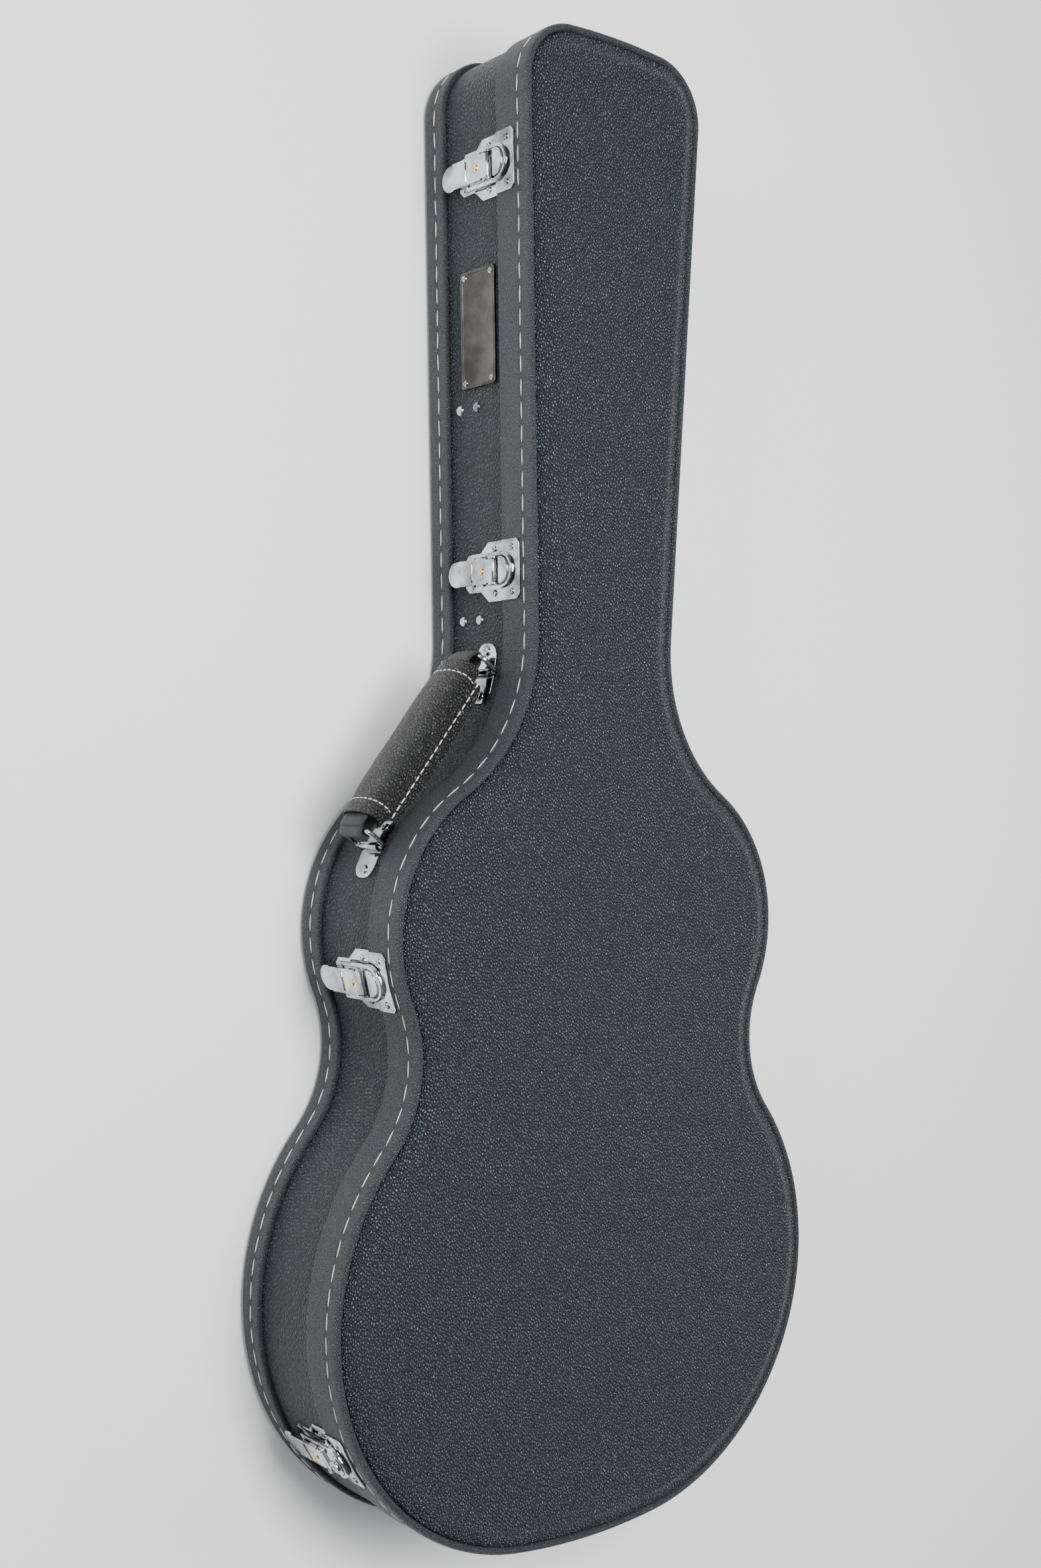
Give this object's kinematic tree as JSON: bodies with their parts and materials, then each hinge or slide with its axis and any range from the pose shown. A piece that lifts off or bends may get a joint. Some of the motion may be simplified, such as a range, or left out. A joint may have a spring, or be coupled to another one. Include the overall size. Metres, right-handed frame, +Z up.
{
  "type": "guitar case",
  "caption": "Hard case for a classical guitar with a hinged padded lid, draw latches, a swinging handle and an inner compartment.",
  "frame": {"origin": "centre line of the plan, half way along the walls' length, on the flat back that the case rests on", "axes": "+Z up through the lid, +Y to the head end, latches and handle on -X, hinges on +X"},
  "size_m": [0.4551, 1.0671, 0.1225],
  "materials": {
    "coarse_leatherette": "coarse grained leatherette",
    "fine_leatherette": "fine grained leatherette",
    "grip_leatherette": "fine grained leatherette over padding",
    "tab_leather": "smooth leather",
    "wall_wood": "plywood",
    "plush": "short plush over foam and board",
    "webbing": "woven webbing",
    "nickel": "bright nickel plate",
    "strip_steel": "satin",
    "plate_metal": "dark satin plate",
    "brass": "polished",
    "foot_rubber": "moulded rubber"
  },
  "bodies": {
    "case": {"body_wall": "coarse_leatherette", "back_panel": "coarse_leatherette", "back_band": "fine_leatherette", "bout_lining": "plush", "head_lining": "plush", "lower_divider": "plush", "upper_divider": "plush", "lower_neck_pad": "plush", "upper_neck_pad": "plush", "compartment_floor": "plush", "compartment_hinge_fixed": "strip_steel", "compartment_hinge_pin": "strip_steel", "hinge_body_leaves": "nickel", "hinge_pins": "nickel", "lever_pins": "nickel", "body_rivets": "nickel", "divider_screws": "nickel", "upper_bracket": "nickel", "lower_bracket": "nickel", "bracket_screws": "nickel", "name_plate": "plate_metal", "feet": "foot_rubber", "latch_1_base": "nickel", "latch_2_base": "nickel", "latch_3_base": "nickel", "latch_4_base": "nickel"},
    "lid": {"lid_panel": "coarse_leatherette", "lid_wall": "wall_wood", "lid_band": "fine_leatherette", "lid_lining": "plush", "hinge_lid_leaves": "nickel", "lid_rivets": "nickel", "latch_4_lock": "nickel", "latch_1_catch": "nickel", "latch_2_catch": "nickel", "latch_3_catch": "nickel", "latch_4_catch": "nickel"},
    "compartment": {"compartment_lid": "plush", "compartment_tab": "tab_leather", "compartment_hinge_moving": "strip_steel"},
    "lever_1": {"latch_1_lever": "nickel", "latch_1_rivet": "brass"},
    "loop_1": {"latch_1_loop": "nickel"},
    "lever_2": {"latch_2_lever": "nickel", "latch_2_rivet": "brass"},
    "loop_2": {"latch_2_loop": "nickel"},
    "lever_3": {"latch_3_lever": "nickel", "latch_3_rivet": "brass"},
    "loop_3": {"latch_3_loop": "nickel"},
    "lever_4": {"latch_4_lever": "nickel", "latch_4_rivet": "brass"},
    "loop_4": {"latch_4_loop": "nickel"},
    "upper_ring": {"upper_ring": "nickel"},
    "lower_ring": {"lower_ring": "nickel"},
    "handle": {"upper_webbing": "webbing", "lower_webbing": "webbing", "grip": "grip_leatherette"}
  },
  "joints": [
    {"name": "lid_hinge", "type": "hinge", "parent": "case", "child": "lid", "pos_m": [0.22101, -0.31951, 0.083], "axis": [-0.1711, 0.9853, 0], "range_deg": [0, 105]},
    {"name": "compartment_lid_hinge", "type": "hinge", "parent": "case", "child": "compartment", "pos_m": [0, 0.2662, 0.057], "axis": [-1, 0, 0], "range_deg": [0, 84]},
    {"name": "latch_1_lever", "type": "hinge", "parent": "case", "child": "lever_1", "pos_m": [-0.08311, 0.43575, 0.077], "axis": [-0.0436, 0.999, 0], "range_deg": [0, 120]},
    {"name": "latch_1_loop", "type": "hinge", "parent": "lever_1", "child": "loop_1", "pos_m": [-0.08236, 0.43578, 0.0545], "axis": [-0.0436, 0.999, 0], "range_deg": [-144, 0]},
    {"name": "latch_2_lever", "type": "hinge", "parent": "case", "child": "lever_2", "pos_m": [-0.07092, 0.15675, 0.077], "axis": [-0.0436, 0.999, 0], "range_deg": [0, 120]},
    {"name": "latch_2_loop", "type": "hinge", "parent": "lever_2", "child": "loop_2", "pos_m": [-0.07017, 0.15678, 0.0545], "axis": [-0.0436, 0.999, 0], "range_deg": [-144, 0]},
    {"name": "latch_3_lever", "type": "hinge", "parent": "case", "child": "lever_3", "pos_m": [-0.1752, -0.12751, 0.077], "axis": [-0.2756, 0.9613, 0], "range_deg": [0, 120]},
    {"name": "latch_3_loop", "type": "hinge", "parent": "lever_3", "child": "loop_3", "pos_m": [-0.17448, -0.1273, 0.0545], "axis": [-0.2756, 0.9613, 0], "range_deg": [-144, 0]},
    {"name": "latch_4_lever", "type": "hinge", "parent": "case", "child": "lever_4", "pos_m": [-0.19726, -0.44466, 0.077], "axis": [-0.515, 0.8572, 0], "range_deg": [0, 120]},
    {"name": "latch_4_loop", "type": "hinge", "parent": "lever_4", "child": "loop_4", "pos_m": [-0.19662, -0.44427, 0.0545], "axis": [-0.515, 0.8572, 0], "range_deg": [-144, 0]},
    {"name": "upper_ring_swing", "type": "hinge", "parent": "case", "child": "upper_ring", "pos_m": [-0.0688, 0.08542, 0.064], "axis": [0, 0, 1], "range_deg": [-30, 38]},
    {"name": "lower_ring_swing", "type": "hinge", "parent": "case", "child": "lower_ring", "pos_m": [-0.16198, -0.03646, 0.064], "axis": [0, 0, 1], "range_deg": [-30, 38]},
    {"name": "handle_swing", "type": "hinge", "parent": "upper_ring", "child": "handle", "pos_m": [-0.0823, 0.09575, 0.064], "axis": [0, 0, 1], "range_deg": [-38, 30]}
  ],
  "couplings": [
    {"joint": "compartment_lid_hinge", "follows": "lid_hinge", "ratio": 0.8},
    {"joint": "latch_1_loop", "follows": "latch_1_lever", "ratio": -1.2},
    {"joint": "latch_2_loop", "follows": "latch_2_lever", "ratio": -1.2},
    {"joint": "latch_3_loop", "follows": "latch_3_lever", "ratio": -1.2},
    {"joint": "latch_4_loop", "follows": "latch_4_lever", "ratio": -1.2},
    {"joint": "lower_ring_swing", "follows": "upper_ring_swing", "ratio": 1},
    {"joint": "handle_swing", "follows": "upper_ring_swing", "ratio": -1}
  ]
}
